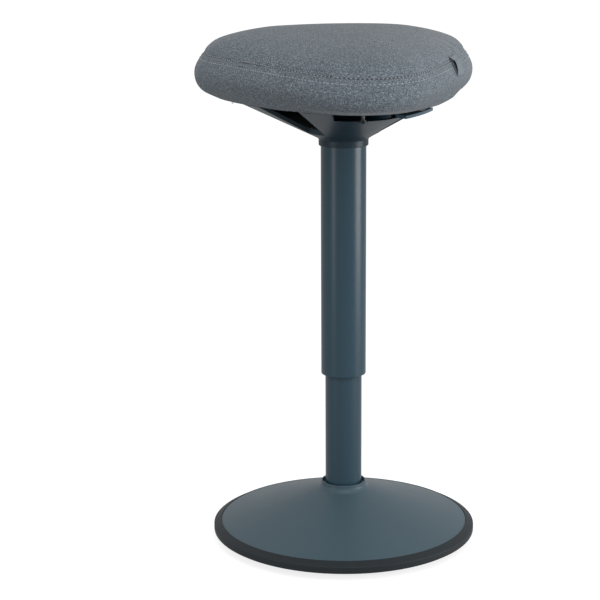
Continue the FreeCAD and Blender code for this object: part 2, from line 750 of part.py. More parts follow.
def mechanism_parts():
    # Taper socket: steel, welded into the mount plate, holds the gas cylinder's tapered top
    socket_radius = 17.5
    turned_part("taper_socket", [
        (cylinder_radius + seat_gap, cylinder_taper_start), (socket_radius, cylinder_taper_start),
        (socket_radius, cylinder_top), (cylinder_radius - cylinder_taper + seat_gap, cylinder_top)])

    # Mount plate: a hat-shaped pressing, its middle low round the socket, two flanges under the board
    half_floor = 52
    half_flange = 78
    half_length = 52
    web_run = 8
    corner = 3
    flange_bottom = board_bottom - steel_gauge
    right_half = [
        (half_floor, plate_bottom), (half_floor + web_run, flange_bottom), (half_flange, flange_bottom),
        (half_flange, board_bottom), (half_floor + web_run - corner, board_bottom),
        (half_floor - corner, plate_top)]
    left_half = [(-across, height) for across, height in reversed(right_half)]
    body = new_body("mount_plate")
    sketch = new_sketch(body, "YZ_Plane")
    polygon(sketch, right_half + left_half)
    hat = raised(body, sketch, 2 * half_length)
    hat.SideType = "Symmetric"
    holes(body, [(0, 0)], socket_radius + NESTED, plate_bottom - PAST, plate_top + PAST)
    screw_places = places_at_corners(plate_screw_x, plate_screw_y)
    holes(body, screw_places, 3.3, flange_bottom - PAST, board_bottom + PAST)
    sub_part(body, "mount_plate")

    head_height = 3.4
    body = new_body("plate_screws")
    posts(body, screw_places, 5.4, flange_bottom - head_height, flange_bottom)
    posts(body, screw_places, 2.95, flange_bottom, board_top)
    sub_part(body, "plate_screws")

    # Tee nuts: flange on top of the board, barrel down into it
    nut_bore = 3
    body = new_body("tee_nuts")
    for bottom, top, outer in ((board_bottom + 2, board_top, 4), (board_top, board_top + nut_flange, 8)):
        sketch = new_sketch(body, "XY_Plane", bottom)
        for x, y in screw_places:
            circle(sketch, x, y, outer)
            circle(sketch, x, y, nut_bore)
        raised(body, sketch, top - bottom)
    sub_part(body, "tee_nuts")


def along_lever(body, height):
    """A sketch on the floor plane turned so that its x runs along the lever."""
    sketch = new_sketch(body, "XY_Plane", height)
    offset = sketch.AttachmentOffset
    offset.Rotation = FreeCAD.Rotation(FreeCAD.Vector(0, 0, 1), LEVER_DIRECTION)
    sketch.AttachmentOffset = offset
    return sketch


def across_lever(cylinder, radius, length, distance, height):
    """Lay a cylinder level across the lever, centred at a distance from the column's axis."""
    along_x, along_y = direction(LEVER_DIRECTION)
    across_x, across_y = direction(LEVER_DIRECTION + 90)
    half = as_size(length) / 2
    lying = FreeCAD.Rotation(FreeCAD.Vector(0, 0, 1), FreeCAD.Vector(across_x, across_y, 0))
    cylinder.Placement = FreeCAD.Placement(FreeCAD.Vector(0, 0, 0), lying)
    cylinder.setExpression("Radius", as_size(radius).text)
    cylinder.setExpression("Height", as_size(length).text)
    cylinder.setExpression(".Placement.Base.x", (distance * along_x - half * across_x).text)
    cylinder.setExpression(".Placement.Base.y", (distance * along_y - half * across_y).text)
    cylinder.setExpression(".Placement.Base.z", as_size(height).text)


def lever_parts():
    pin_radius = 2
    half_arm = 5
    arm_start = -4
    arm_bottom = lever_height - 1.2
    arm_top = lever_height + 2.5
    cheek_inner = half_arm + 0.4
    cheek_outer = cheek_inner + 2.5
    cheek_top = lever_height + 4.5
    foot_gauge = 2
    bracket_end = lever_pivot + 3.2

    # Bracket: two cheeks on a foot welded to the plate, one each side of the lever
    body = new_body("lever_bracket")
    sketch = along_lever(body, plate_top)
    rectangle(sketch, lever_pivot - 7, bracket_end, -cheek_outer, cheek_outer)
    raised(body, sketch, foot_gauge)
    for low, high in ((-cheek_outer, -cheek_inner), (cheek_inner, cheek_outer)):
        sketch = along_lever(body, plate_top + foot_gauge)
        rectangle(sketch, lever_pivot - 5, bracket_end, low, high)
        raised(body, sketch, cheek_top - plate_top - foot_gauge)
    bore = body.newObject("PartDesign::SubtractiveCylinder", "PinHole")
    across_lever(bore, pin_radius + PRESSED, 2 * cheek_outer + 2 * PAST, lever_pivot, lever_height)
    sub_part(body, "lever_bracket")

    body = new_body("lever_pivot_pin")
    pin = body.newObject("PartDesign::AdditiveCylinder", "Pin")
    across_lever(pin, pin_radius, 2 * cheek_outer + 1.6, lever_pivot, lever_height)
    sub_part(body, "lever_pivot_pin")

    # Arm: a flat bar whose inner end has a round nose over the gas cylinder's pin
    nose_radius = 3
    nose_gap = 0.1
    eye_radius = 4.2
    body = new_body("lever_arm")
    sketch = along_lever(body, arm_bottom)
    rectangle(sketch, arm_start, ARM_END, -half_arm, half_arm)
    raised(body, sketch, arm_top - arm_bottom)
    nose = body.newObject("PartDesign::AdditiveCylinder", "Nose")
    across_lever(nose, nose_radius, 2 * half_arm, 0, lever_height - pin_drop + nose_radius + nose_gap)
    document.recompute()
    eye = body.newObject("PartDesign::AdditiveCylinder", "Eye")
    across_lever(eye, eye_radius, 2 * half_arm, lever_pivot, lever_height)
    document.recompute()
    bore = body.newObject("PartDesign::SubtractiveCylinder", "PinHole")
    across_lever(bore, pin_radius + running_gap, 4 * half_arm, lever_pivot, lever_height)
    sub_part(body, "lever_arm")

    # The moulded blade on the arm, which follows the carrier's edge from the nose to the right
    thickness = 4
    bottom = lever_height - thickness / 2
    blade_out = as_size(1.5)
    blade_in = as_size(-19)
    blade_start = -66.0
    blade_end = LEVER_DIRECTION + 8.0
    body = new_body("lever_paddle")
    sketch = new_sketch(body, "XY_Plane", bottom)
    lobed_outline(sketch, carrier_scale, blade_out)
    lobed_outline(sketch, carrier_scale, blade_in)
    raised(body, sketch, thickness)
    document.recompute()

    # Only the stretch of that ring between the two ends is kept, with a notch for the arm
    beyond = 260
    swept = FULL_TURN + blade_start - blade_end
    fan = [blade_end + swept * share for share in (0, 0.25, 0.5, 0.75, 1)]
    sketch = new_sketch(body, "XY_Plane", bottom - PAST)
    polygon(sketch, [(0, 0)] + places_round(beyond, fan))
    cut_up(body, sketch, thickness + 2 * PAST)
    notch_gap = 0.1
    sketch = along_lever(body, bottom - PAST)
    rectangle(sketch, ARM_END - 24, ARM_END + notch_gap, -half_arm - notch_gap, half_arm + notch_gap)
    cut_up(body, sketch, thickness + 2 * PAST)
    sub_part(body, "lever_paddle")


def lofted(label, levels):
    """A body lofted through lobed outlines, each with its height, its scale, its inset and its lean."""
    body = new_body(label)
    sketches = []
    for height, scale, inset, lean in levels:
        sketch = new_sketch(body, "XY_Plane", height, lean)
        lobed_outline(sketch, scale, -as_size(inset))
        sketches.append(sketch)
    loft = feature_of(body, "AdditiveLoft", sketches[0])
    loft.Sections = sketches[1:]
    loft.Ruled = True
    return body


def cushion_levels(inset, bottom):
    """The cushion's outlines from its bottom edge to its crown, inset by a thickness all round."""
    rise = dome_top - inset - seam_height
    levels = [(bottom, hem_scale, inset, nose_droop * 0)]

    # Up the side: height, part of the full outline, and how much of the lean has come in
    for height, scale, lean in (
            (carrier_top + 4.5, 0.914, 0.15), (carrier_top + 16, 0.977, 0.35), (widest_height, 1, 0.6),
            (widest_height + 16, 0.985, 0.8), (seam_height, seam_scale, 1)):
        levels.append((height, as_size(scale), inset, nose_droop * lean))

    # Over the crown: part of the seam's outline, and part of the rise over the seam
    for share, lift in ((0.95, 0.25), (0.88, 0.41), (0.75, 0.61), (0.55, 0.82), (0.3, 0.955), (0.1, 1.0)):
        levels.append((seam_height + rise * lift, seam_scale * share, inset * share, nose_droop))
    return levels


def boolean(kind, base, tool):
    result = document.addObject("Part::" + kind, kind)
    if kind == "Cut":
        result.Base = base
        result.Tool = tool
    else:
        result.Shapes = [base, tool]
    document.recompute()
    if result.Shape.isNull() or result.Shape.Volume <= 0:
        raise RuntimeError("%s of %s and %s is empty" % (kind, base.Label, tool.Label))
    return result


def outline_block(label, scale, outward, bottom, top):
    body = new_body(label)
    sketch = new_sketch(body, "XY_Plane", bottom)
    lobed_outline(sketch, scale, as_size(outward))
    raised(body, sketch, as_size(top) - bottom)
    return body


def seam_box(label, above):
    """A block that fills all the space above or below the leaning plane of the seam."""
    side = 500
    depth = 200
    block = document.addObject("Part::Box", label)
    block.Length = side
    block.Width = side
    block.Height = depth
    drop = 0 if above else -depth
    turn = FreeCAD.Rotation(FreeCAD.Vector(1, 0, 0), nose_droop.value)
    corner = turn.multVec(FreeCAD.Vector(-side / 2, -side / 2, drop))
    block.Placement = FreeCAD.Placement(corner + FreeCAD.Vector(0, 0, seam_height.value), turn)
    block.setExpression(".Placement.Base.z", (seam_height + corner.z).text)
    return block


def seat_parts():
    # Board: plywood, drilled for the tee nuts and the carrier's screws
    nut_places = places_at_corners(plate_screw_x, plate_screw_y)
    body = new_body("seat_board")
    sketch = new_sketch(body, "XY_Plane", board_bottom)
    lobed_outline(sketch, board_scale, as_size(0))
    raised(body, sketch, board_gauge)
    holes(body, nut_places, 4 + NESTED, board_bottom - PAST, board_top + PAST)
    holes(body, places_round(carrier_screw_circle, LOBES), 2.4 + NESTED, board_bottom - PAST,
          board_bottom + carrier_screw_depth + DRILLED)
    sub_part(body, "seat_board")

    # Foam: the cushion's shape less the fabric, moulded over the board and the tee nuts
    skin = lofted("cushion_outside", cushion_levels(as_size(0), carrier_top))
    core = lofted("cushion_inside", cushion_levels(cover_gauge, board_bottom))
    pocket = outline_block("board_pocket", board_scale, DRILLED, board_bottom - PAST, board_top)
    recess = new_body("nut_pockets")
    posts(recess, nut_places, 8 + NESTED, board_top - PAST, board_top + nut_flange + 0.1)
    document.recompute()
    foam = boolean("Cut", boolean("Cut", core, pocket), recess)
    sub_part(foam, "seat_foam")

    # Fabric: a top panel and a side panel that meet at the seam; the side turns in under the board
    hem_width = 10
    fabric_shell = boolean("Cut", skin, core)
    top_panel = boolean("MultiCommon", fabric_shell, seam_box("above_seam", True))
    sub_part(top_panel, "cover_top_panel")
    side = boolean("MultiCommon", fabric_shell, seam_box("below_seam", False))
    opening = outline_block("hem_opening", carrier_scale, -hem_width, carrier_top - 5, board_bottom + 5)
    document.recompute()
    side_panel = boolean("Cut", side, opening)
    sub_part(side_panel, "cover_side_panel")

    # Staples that hold the turned-in hem to the board, nearer the axis between the lobes
    staple_gauge = 0.5
    staple_width = 1
    staple_length = 10
    lobe_reach = 160
    side_loss = 0.0115
    body = new_body("cover_staples")
    sketch = new_sketch(body, "XY_Plane", carrier_top - staple_gauge)
    for lobe in LOBES:
        for offset in range(-45, 46, 15):
            reach = lobe_reach - side_loss * offset * offset
            bar_across(sketch, lobe + offset, reach - staple_width, reach, staple_length)
    raised(body, sketch, staple_gauge)
    sub_part(body, "cover_staples")

    # Tag: a bare loop of woven tape sewn into the seam on the right
    tag_direction = -24.0
    tag_reach = 164.2
    tag_gauge = 1.2
    tag_width = 34
    tag_bottom = 643
    tag_top = 665
    body = new_body("side_tag")
    sketch = new_sketch(body, "XY_Plane", tag_bottom)
    bar_across(sketch, tag_direction, tag_reach, tag_reach + tag_gauge, tag_width)
    raised(body, sketch, tag_top - tag_bottom)
    sub_part(body, "side_tag")


def export_all():
    document.recompute()
    for thing in document.Objects:
        if "Invalid" in thing.State or "Error" in thing.State:
            raise RuntimeError("%s (%s) is %s" % (thing.Label, thing.TypeId, thing.State))
    for thing in sub_parts:
        if thing.Shape.isNull() or not thing.Shape.isValid() or not thing.Shape.Solids:
            raise RuntimeError("%s has no valid solid" % thing.Label)
    os.makedirs("parts", exist_ok=True)
    for thing in sub_parts:
        thing.Shape.exportStep("parts/%s.step" % thing.Label)
    print("%d sub-parts written" % len(sub_parts))


sole_parts()
base_parts()
column_parts()
carrier_part()
mechanism_parts()
lever_parts()
seat_parts()
export_all()
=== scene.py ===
import json
import math

import bmesh
import bpy
from bpy.props import BoolProperty, FloatProperty, FloatVectorProperty, IntProperty, PointerProperty
from mathutils import Matrix, Vector
from mathutils.bvhtree import BVHTree


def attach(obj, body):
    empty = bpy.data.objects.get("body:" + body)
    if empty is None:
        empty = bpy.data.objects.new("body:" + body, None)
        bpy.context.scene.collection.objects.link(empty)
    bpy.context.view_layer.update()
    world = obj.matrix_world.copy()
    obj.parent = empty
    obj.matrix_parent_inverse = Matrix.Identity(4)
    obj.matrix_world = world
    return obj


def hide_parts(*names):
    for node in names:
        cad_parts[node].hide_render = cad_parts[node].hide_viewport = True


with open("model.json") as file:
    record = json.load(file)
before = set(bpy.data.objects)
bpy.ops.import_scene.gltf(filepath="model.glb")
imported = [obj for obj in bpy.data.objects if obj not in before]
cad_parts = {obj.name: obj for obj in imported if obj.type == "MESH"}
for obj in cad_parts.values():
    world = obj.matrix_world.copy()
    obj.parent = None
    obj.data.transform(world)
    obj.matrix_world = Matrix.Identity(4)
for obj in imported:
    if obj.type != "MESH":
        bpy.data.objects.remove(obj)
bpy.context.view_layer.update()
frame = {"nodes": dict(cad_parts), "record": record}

bl_info = {
    "name": "Wobble stool",
    "version": (1, 0, 0),
    "blender": (4, 5, 0),
    "location": "3D View > Sidebar > Wobble stool",
    "description": "Dresses the packed wobble stool: upholstered seat, paint, rubber, mouldings and studio",
    "category": "Object",
}

MM = 0.001
NOSE = math.radians(-90)
LOBES = (NOSE, math.radians(30), math.radians(150))
HALF_SIDE = math.radians(60)

# Vertices in each ring of the cushion, and the distance between rings along its section
ROUND_THE_SEAT = 240
RING_STEP = 5 * MM

# The pocket that holds the seat board: out over the board, down its edge, in under it, round the hem
# and out again. Share of the widest outline, and height in millimetres.
POCKET = ((0.30, 625.5), (0.60, 625.5), (0.80, 625.5), (0.806, 624), (0.806, 613), (0.80, 611.45),
          (0.70, 611.45), (0.668, 610.9), (0.672, 610), (0.74, 610), (0.80, 610))

# The side, from the hem up to the seam. Share of the widest outline at the lobes and on the flat
# sides, which are cut in further at the bottom, height in millimetres, and share of the nose's droop.
SIDE = ((0.832, 0.810, 610.2, 0.02), (0.882, 0.821, 611.6, 0.08), (0.936, 0.844, 615.0, 0.17),
        (0.970, 0.887, 620.2, 0.26), (0.994, 0.943, 628.2, 0.4), (1.001, 0.985, 638.2, 0.6),
        (0.993, 0.990, 647.5, 0.72), (0.966, 0.967, 656.8, 0.82), (0.939, 0.938, 664.2, 0.92))

# The crown from the seam inwards, and the grid over its middle from the centre outwards.
# Share of the seam's outline, and share of the crown's rise over the seam.
CROWN = ((1, 0), (0.95, 0.25), (0.88, 0.42), (0.75, 0.625), (0.62, 0.775))
CROWN_MIDDLE = ((0, 1), (0.1, 0.996), (0.3, 0.955), (0.55, 0.82), (0.62, 0.76), (0.75, 0.61))

# The height under which the pocket's roof lies, and how far it reaches from the column's axis
POCKET_ROOF = 626 * MM
POCKET_REACH = 130 * MM

# Past this distance from the seam, sewing doesn't move the felt
SEWN_BAND = 25 * MM

# How much of a step up the felt leads inwards, over the seam's height and under it
CROWN_LEAN = 0.68
SIDE_LEAN = 0.45

# Nodes whose finish isn't their slot's: the dome's coarser paint, drawn paler as painted light, and the mount
# plate in the column's paint
# The carrier's screws and the cover's staples are bright metal drawn black behind the slot: painted shade
OWN_FINISH = {"base_shell": "base_paint_painted_light", "carrier_screws": "black_steel", "cover_staples": "black_steel",
              "mount_plate": "painted_steel"}

# Lamps: place, width, height, and the height that it faces on the axis, in metres, and then watts
LAMPS = {"top_softbox": ((-0.1, -1.6, 1.9), 1.8, 1.8, 0.35, 21.5),
         "right_strip": ((1.84, -0.78, 0.4), 1.1, 0.8, 0.4, 23),
         "left_strip": ((-1.78, -0.91, 0.4), 0.5, 0.8, 0.4, 5)}

# A Mix node's sockets for colours
MIX_FIRST, MIX_SECOND, MIX_RESULT = 6, 7, 2


def linear(hex_colour):
    """An sRGB hex colour as the linear colour with alpha that Blender's sockets take."""
    shares = [int(hex_colour[start:start + 2], 16) / 255 for start in (1, 3, 5)]
    return [c / 12.92 if c <= 0.04045 else ((c + 0.055) / 1.055) ** 2.4 for c in shares] + [1.0]


# Settings that a user would change

def length(name, millimetres, description):
    return FloatProperty(name=name, default=millimetres * MM, unit="LENGTH", description=description)


def angle(name, degrees, description):
    return FloatProperty(name=name, default=math.radians(degrees), unit="ROTATION", description=description)


def factor(name, share, description):
    return FloatProperty(name=name, default=share, min=0, max=1, subtype="FACTOR", description=description)


def colour(name, hex_colour, description):
    return FloatVectorProperty(name=name, subtype="COLOR", size=4, min=0, max=1,
                               default=linear(hex_colour), description=description)


class SeatSizes(bpy.types.PropertyGroup):
    lobe_distance: length("Lobe distance", 116.2, "From the column's axis to the middle of each lobe's arc")
    lobe_radius: length("Lobe radius", 91, "Radius of each lobe's arc at the widest level")
    side_distance: length("Side distance", 304, "From the axis to the middle of each flat side's arc")
    seam_height: length("Seam height", 670.7, "Height at which the crown starts, over the column's axis")
    dome_height: length("Crown height", 703.6, "Height of the top of the crown")
    nose_droop: angle("Nose droop", 3, "How far the top leans towards the nose")
    seam_share: factor("Seam share", 0.917, "The crown's part of the widest outline")
    lobe_drop: length("Lobe drop", 7.28, "How far the seam runs under the crown's edge at the lobes")
    side_drop: length("Side drop", 1.68, "How far the seam runs under the crown's edge on the flat sides")
    puff_limit: length("Puff limit", 2.5, "Furthest that the fabric may swell in the simulation")
    air_pressure: FloatProperty(name="Air pressure", default=4, description="Pressure under the fabric")
    frames: IntProperty(name="Frames", default=20, description="Frames of the simulation")
    simulate: BoolProperty(name="Simulate", default=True, description="Swell the fabric with Cloth")


class SewingSizes(bpy.types.PropertyGroup):
    crease_depth: length("Crease depth", 1.1, "How deep the seam sinks into the cushion")
    crease_width: length("Crease width", 2.4, "Half width of the seam's crease")
    upper_row: length("Upper row", 2.8, "How far over the seam the first row of stitches runs")
    lower_row: length("Lower row", 7.0, "How far under the seam the second row of stitches runs")
    row_depth: length("Row depth", 0.45, "How deep each row of stitches pulls in")
    row_width: length("Row width", 1.6, "Half width of the dent along each row")
    slack: factor("Slack", 0.4, "How much shallower a row's dent is between its stitches")
    welt: length("Welt", 0.5, "How far the felt stands up between the seam and the second row")
    gather_depth: length("Gather depth", 0.12, "How deep the felt gathers at each stitch")
    gather_width: length("Gather width", 12, "How far from the seam the gathers fade")
    stitches: IntProperty(name="Stitches", default=216, description="Stitches in each row round the seat")
    stitch_length: length("Stitch length", 3.1, "Length of one stitch")
    stitch_lift: length("Stitch lift", 0.2, "How far a stitch's middle stands over the felt")
    thread: length("Thread", 1.1, "Thickness of the thread")


class TagSizes(bpy.types.PropertyGroup):
    heading: angle("Heading", -28.5, "Where the tag sits round the seat, from the right towards the nose")
    width: length("Width", 34, "Width of the tape along the seam")
    top: length("Top", 677, "Height of the tape's sewn end")
    bottom: length("Bottom", 646, "Height of the loop's fold")
    gauge: length("Gauge", 0.9, "Thickness of the tape")
    clearance: length("Clearance", 1.0, "How far the tape's middle lies off the felt at its sewn end")
    front_bulge: length("Front bulge", 3.2, "How much further the loop's front stands off at its middle")
    back_bulge: length("Back bulge", 0.3, "How much further the loop's back stands off at its middle")
    twist: length("Twist", 3.0, "How much less the front stands off at its far edge than at its near one")


class Colours(bpy.types.PropertyGroup):
    fabric: colour("Fabric", "#5B646C", "Main colour of the seat's felt")
    fabric_light: colour("Light fibres", "#9AA1A7", "Light fibres in the felt")
    fabric_dark: colour("Dark fibres", "#2E3840", "Dark fibres in the felt")
    thread: colour("Thread", "#A6AEB4", "Topstitching")
    tag: colour("Tag", "#727C84", "Woven tape of the tag")
    paint: colour("Paint", "#29404C", "Powder coat on the column")
    # The base's paint is the column's drawn paler: painted light, where the top lamp falls on the base
    base_paint_painted_light: colour("Base paint", "#3F515A", "Powder coat on the base, paler for its coarser grain")
    rubber: colour("Rubber", "#1C2226", "Edge ring")
    moulding: colour("Moulding", "#1B2C36", "Seat carrier, collar and lever")


class StageSizes(bpy.types.PropertyGroup):
    azimuth: angle("Azimuth", -12, "Where the camera stands round the column")
    distance: length("Distance", 2380, "From the column's axis to the camera, level")
    height: length("Height", 891.6, "Height of the camera over the floor")
    pitch: angle("Pitch", 13.116, "How far the camera looks down")
    turn: angle("Turn", 1.427, "How far the camera is turned to the left of the column")
    roll: angle("Roll", -0.315, "How far the camera is rolled")
    lens: FloatProperty(name="Lens", default=107.6, unit="CAMERA", description="Focal length, 36 mm sensor")
    ambient: FloatProperty(name="Ambient", default=0.6, description="Strength of the light from all round")
    floor_shade: factor("Floor shade", 0.4, "How much light the floor throws back at the stool")


# Materials

def add_node(owner, kind, settings=None, values=None, links=None):
    """Adds one node to a material or world, sets its properties and sockets, and links outputs into it."""
    node = owner.node_tree.nodes.new(kind)
    for name, value in (settings or {}).items():
        setattr(node, name, value)
    for socket, value in (values or {}).items():
        node.inputs[socket].default_value = value
    for socket, output in (links or {}).items():
        owner.node_tree.links.new(output, node.inputs[socket])
    return node


def empty_material(name):
    material = bpy.data.materials.new(name)
    material.use_nodes = True
    material.node_tree.nodes.clear()
    return material


def put_material(piece, material):
    piece.data.materials.clear()
    piece.data.materials.append(material)


def shade(rgba, strength):
    return [channel * strength for channel in rgba[:3]] + [1.0]


def finish_material(name, main, second, patch, grain, depth, roughness, change, stretch=(1, 1, 1),
                    specular=0.5, metallic=0.0):
    """A hard finish: patches of a second colour, and a grain in the surface.

    The patches, the grain and its depth are sized in millimetres."""
    material = empty_material(name)
    place = add_node(material, "ShaderNodeTexCoord").outputs["Object"]
    along = add_node(material, "ShaderNodeMapping", values={"Scale": stretch}, links={"Vector": place})
    patches = add_node(material, "ShaderNodeTexNoise", values={"Scale": 1 / (patch * MM), "Detail": 3.0},
                       links={"Vector": along.outputs["Vector"]})
    grains = add_node(material, "ShaderNodeTexNoise", values={"Scale": 1 / (grain * MM), "Detail": 2.0},
                      links={"Vector": along.outputs["Vector"]})
    tint = add_node(material, "ShaderNodeMix", {"data_type": "RGBA"}, {MIX_FIRST: main, MIX_SECOND: second},
                    {"Factor": patches.outputs["Fac"]})
    rough = add_node(material, "ShaderNodeMapRange",
                     values={"To Min": roughness - change, "To Max": roughness + change},
                     links={"Value": patches.outputs["Fac"]})
    bump = add_node(material, "ShaderNodeBump", values={"Distance": depth * MM},
                    links={"Height": grains.outputs["Fac"]})
    shader = add_node(material, "ShaderNodeBsdfPrincipled",
                      values={"Specular IOR Level": specular, "Metallic": metallic},
                      links={"Base Color": tint.outputs[MIX_RESULT], "Roughness": rough.outputs["Result"],
                             "Normal": bump.outputs["Normal"]})
    add_node(material, "ShaderNodeOutputMaterial", links={"Surface": shader.outputs["BSDF"]})
    return material


def hard_materials(colours):
    """The finishes of the CAD nodes, mostly by the record's material slots."""
    paint = colours.paint
    base_paint_painted_light = colours.base_paint_painted_light
    rubber = colours.rubber
    moulding = colours.moulding
    return {
        # Powder-coated steel: satin, with the faint orange peel of a baked coat
        "painted_steel": finish_material(
            "powder_coated_steel", paint, shade(paint, 1.08), patch=50, grain=1.6, depth=0.03,
            roughness=0.30, change=0.03, specular=0.3),
        # The base's dome: sprayed thicker, with a coarser orange peel that blurs what it mirrors, and drawn
        # paler than the column's paint as painted light from above
        "base_paint_painted_light": finish_material(
            "textured_powder_coat", base_paint_painted_light, shade(base_paint_painted_light, 1.08), patch=50, grain=2.2, depth=0.05,
            roughness=0.42, change=0.04, specular=0.25),
        # EPDM: an extruded ring, dull, with dust and a grain that greys it
        "ring_rubber": finish_material(
            "epdm_rubber", rubber, shade(rubber, 1.35), patch=12, grain=0.9, depth=0.06,
            roughness=0.55, change=0.08, specular=0.25),
        # Nitrile rubber: moulded, matte and nearly black
        "sole_rubber": finish_material(
            "nitrile_rubber", linear("#24272A"), linear("#303437"), patch=10, grain=1.2, depth=0.08,
            roughness=0.72, change=0.06),
        # Glass-filled polypropylene: moulded, with a spark-eroded texture that spreads its highlights
        "dark_moulding": finish_material(
            "glass_filled_polypropylene", moulding, shade(moulding, 1.15), patch=20, grain=1.1, depth=0.04,
            roughness=0.38, change=0.05, specular=0.22),
        # Nylon: the lever's blade, moulded smoother than the carrier, so a little glossier; its colour is the
        # carrier's drawn paler, a painted highlight along the blade
        "lever_moulding": finish_material(
            "nylon_with_painted_highlight", shade(moulding, 3.2), shade(moulding, 3.6), patch=20, grain=1.2, depth=0.02,
            roughness=0.28, change=0.04),
        # Acetal: machined bushes, waxy black
        "black_plastic": finish_material(
            "black_acetal", linear("#1B1C1E"), linear("#242628"), patch=10, grain=0.8, depth=0.02,
            roughness=0.40, change=0.06),
        # Mild steel: cold rolled, with marks drawn out along its length
        "plain_steel": finish_material(
            "cold_rolled_steel", linear("#B9BABB"), linear("#8E9092"), patch=6, grain=0.8, depth=0.02,
            roughness=0.38, change=0.08, stretch=(1, 1, 0.15), metallic=1.0),
        # Ground steel: the rod and the bearing balls, bright with fine grinding marks round them
        "bright_steel": finish_material(
            "ground_steel", linear("#CDCECF"), linear("#B4B6B8"), patch=8, grain=0.6, depth=0.01,
            roughness=0.16, change=0.05, stretch=(0.2, 0.2, 1), metallic=1.0),
        # Black stoved enamel on steel: the gas cylinder and the pressings under the seat, smooth and dark
        "black_steel": finish_material(
            "black_enamelled_steel", linear("#1C1E20"), linear("#26292B"), patch=20, grain=1.4, depth=0.03,
            roughness=0.34, change=0.05),
        # Grey cast iron: sand cast, coarse and dull
        "ballast_iron": finish_material(
            "grey_cast_iron", linear("#4A4C4D"), linear("#35383A"), patch=6, grain=1.8, depth=0.20,
            roughness=0.62, change=0.10, metallic=0.7),
        # Zinc plate: bolts and nuts, with a slight yellow in its cloudiness
        "plated_steel": finish_material(
            "zinc_plated_steel", linear("#C3C2BC"), linear("#A5A7A8"), patch=4, grain=0.6, depth=0.01,
            roughness=0.30, change=0.08, metallic=1.0),
        # Birch plywood, coloured dark as painted shade so that it doesn't shine through the windows: long
        # figure across it
        "plywood": finish_material(
            "birch_plywood_painted_shade", linear("#41382F"), linear("#2D2824"), patch=10, grain=1.0, depth=0.06,
            roughness=0.62, change=0.06, stretch=(0.12, 1, 1)),
    }


class STOOL_OT_hard_parts(bpy.types.Operator):
    """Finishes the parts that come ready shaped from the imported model"""
    bl_idname = "stool.hard_parts"
    bl_label = "Hard parts"

    def execute(self, context):
        finishes = hard_materials(context.scene.stool_colours)
        for row in frame["record"]["subparts"]:
            finish = OWN_FINISH.get(row["node"], row["material_slot"])
            if finish in finishes:
                put_material(frame["nodes"][row["node"]], finishes[finish])
        return {"FINISHED"}


# Making pieces

def deselect_all():
    for thing in bpy.context.selected_objects:
        thing.select_set(False)


def make_active(piece):
    deselect_all()
    piece.select_set(True)
    bpy.context.view_layer.objects.active = piece


def new_piece(name, mesh):
    piece = bpy.data.objects.new(name, mesh)
    bpy.context.scene.collection.objects.link(piece)
    make_active(piece)
    return piece


def apply_modifiers(piece):
    make_active(piece)
    for modifier in list(piece.modifiers):
        bpy.ops.object.modifier_apply(modifier=modifier.name)


# The seat's shape

def outward(heading):
    """The level direction away from the column's axis at a heading round it."""
    return Vector((math.cos(heading), math.sin(heading), 0))


def full_reach(sizes, heading):
    """Distance from the column's axis to the cushion's widest outline, in one direction."""
    lobe = min(LOBES, key=lambda middle: -math.cos(heading - middle))
    off_lobe = math.remainder(heading - lobe, 2 * math.pi)
    near, far = sizes.lobe_distance, sizes.side_distance
    side_radius = math.sqrt(near * near + far * far + near * far) + sizes.lobe_radius
    side_centre = -far * outward(lobe + math.copysign(HALF_SIDE, off_lobe))
    lobe_centre = near * outward(lobe)
    joint = lobe_centre + (lobe_centre - side_centre).normalized() * sizes.lobe_radius
    on_lobe = abs(off_lobe) < abs(math.remainder(math.atan2(joint.y, joint.x) - lobe, 2 * math.pi))
    centre, radius = (lobe_centre, sizes.lobe_radius) if on_lobe else (side_centre, side_radius)
    ahead = centre.dot(outward(heading))
    return ahead + math.sqrt(ahead * ahead - centre.length_squared + radius * radius)


def flatness(heading):
    """How near a direction is to the middle of a flat side: 0 at a lobe's middle, 1 at a flat side's."""
    return (1 - math.cos(3 * (heading - NOSE))) / 2


def flat_cut(height):
    """How much the outline's share changes from a lobe to a flat side, at one height of the side."""
    for (lobe_a, flat_a, low, _), (lobe_b, flat_b, high, _) in zip(SIDE, SIDE[1:]):
        if low * MM <= height <= high * MM:
            part = (height / MM - low) / (high - low)
            return (flat_a - lobe_a) * (1 - part) + (flat_b - lobe_b) * part
    return 0.0


def seam_shift(sizes, heading):
    """How far the seam runs from the crown's edge in one direction, negative as it runs under it."""
    flat = flatness(heading)
    return -sizes.lobe_drop * (1 - flat) - sizes.side_drop * flat


def at_heading(sizes, heading, share, height, lean):
    """The point of the cushion in one direction, with the nose's droop."""
    reach = full_reach(sizes, heading) * share
    y = reach * math.sin(heading)
    return Vector((reach * math.cos(heading), y, height + lean * math.tan(sizes.nose_droop) * y))


def along_curve(points, reach):
    """Evenly stepped points of a smooth curve through points of outline share, height and lean."""
    found = []
    last = len(points) - 1
    for index in range(last):
        before, start, end, after = (Vector(points[min(max(index + k, 0), last)]) for k in (-1, 0, 1, 2))
        span = Vector(((end.x - start.x) * reach, end.y - start.y)).length
        steps = max(1, round(span / RING_STEP))
        for k in range(steps):
            t = k / steps
            found.append(0.5 * (2 * start + (end - before) * t
                                + (2 * before - 5 * start + 4 * end - after) * t * t
                                + (3 * start - before - 3 * end + after) * t ** 3))
    found.append(Vector(points[last]))
    return found


def section_rings(sizes, reach):
    """The section at a lobe as evenly stepped rings, with the numbers of the pinned and the seam's rings."""
    rise = sizes.dome_height - sizes.seam_height
    pocket = [(share, height * MM, 0) for share, height in POCKET]
    side = [(share, height * MM, lean) for share, _, height, lean in SIDE]
    crown = [(sizes.seam_share * share, sizes.seam_height + rise * lift, 1) for share, lift in CROWN]
    under = along_curve(pocket, reach)
    beside = along_curve(pocket[-1:] + side + crown[:1], reach)
    over = along_curve(crown, reach)
    return under[:-1] + beside[:-1] + over, len(under), len(under) + len(beside) - 2


